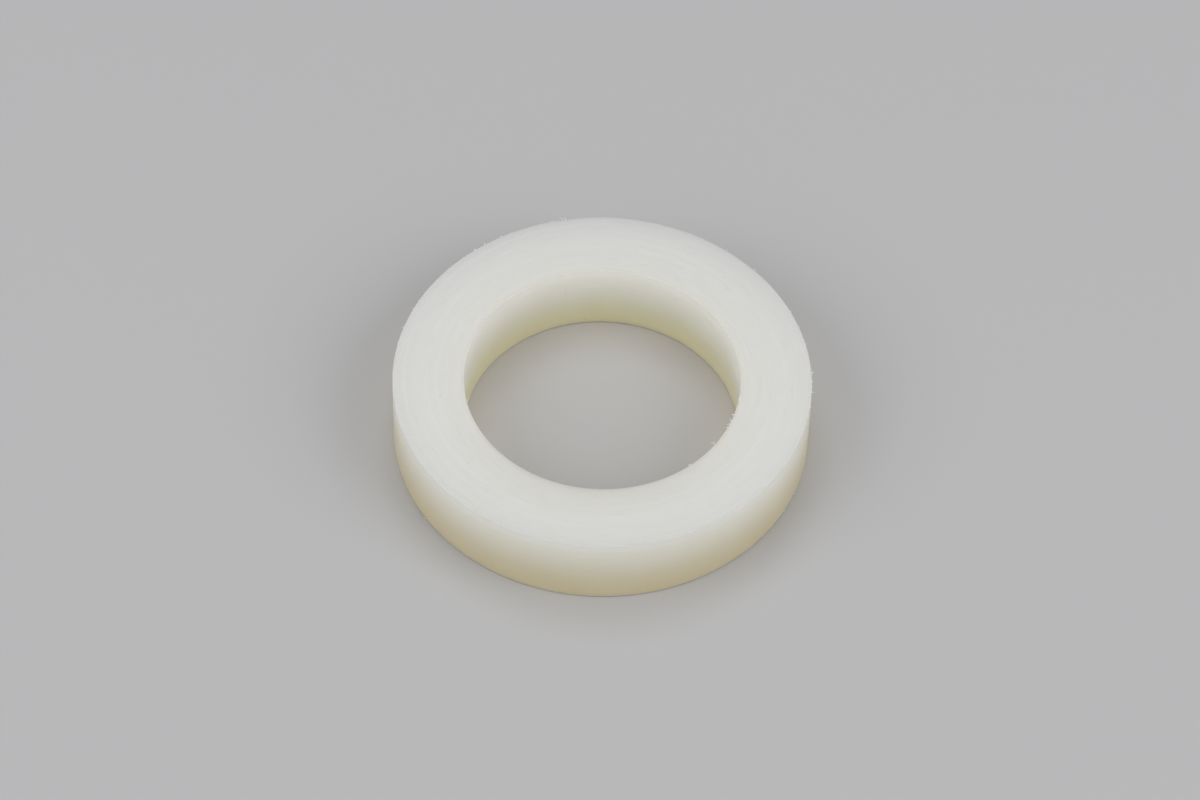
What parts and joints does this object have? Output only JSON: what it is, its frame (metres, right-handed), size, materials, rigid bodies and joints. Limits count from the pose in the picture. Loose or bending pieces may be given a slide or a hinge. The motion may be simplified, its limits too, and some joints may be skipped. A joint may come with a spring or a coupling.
{
  "type": "flat washer",
  "caption": "Thick plain round washer or spacer ring of natural nylon, with two flat parallel faces and a large plain bore.",
  "frame": {"origin": "centre of the lower bearing face, on the bore's axis", "axes": "+Z along the bore's axis, from the lower bearing face to the upper one; X and Y lie in the lower face, and the ring is the same all round"},
  "size_m": [0.05, 0.05, 0.01],
  "materials": {
    "natural_nylon": "satin"
  },
  "bodies": {
    "root": {"washer_ring": "natural_nylon"}
  },
  "joints": []
}
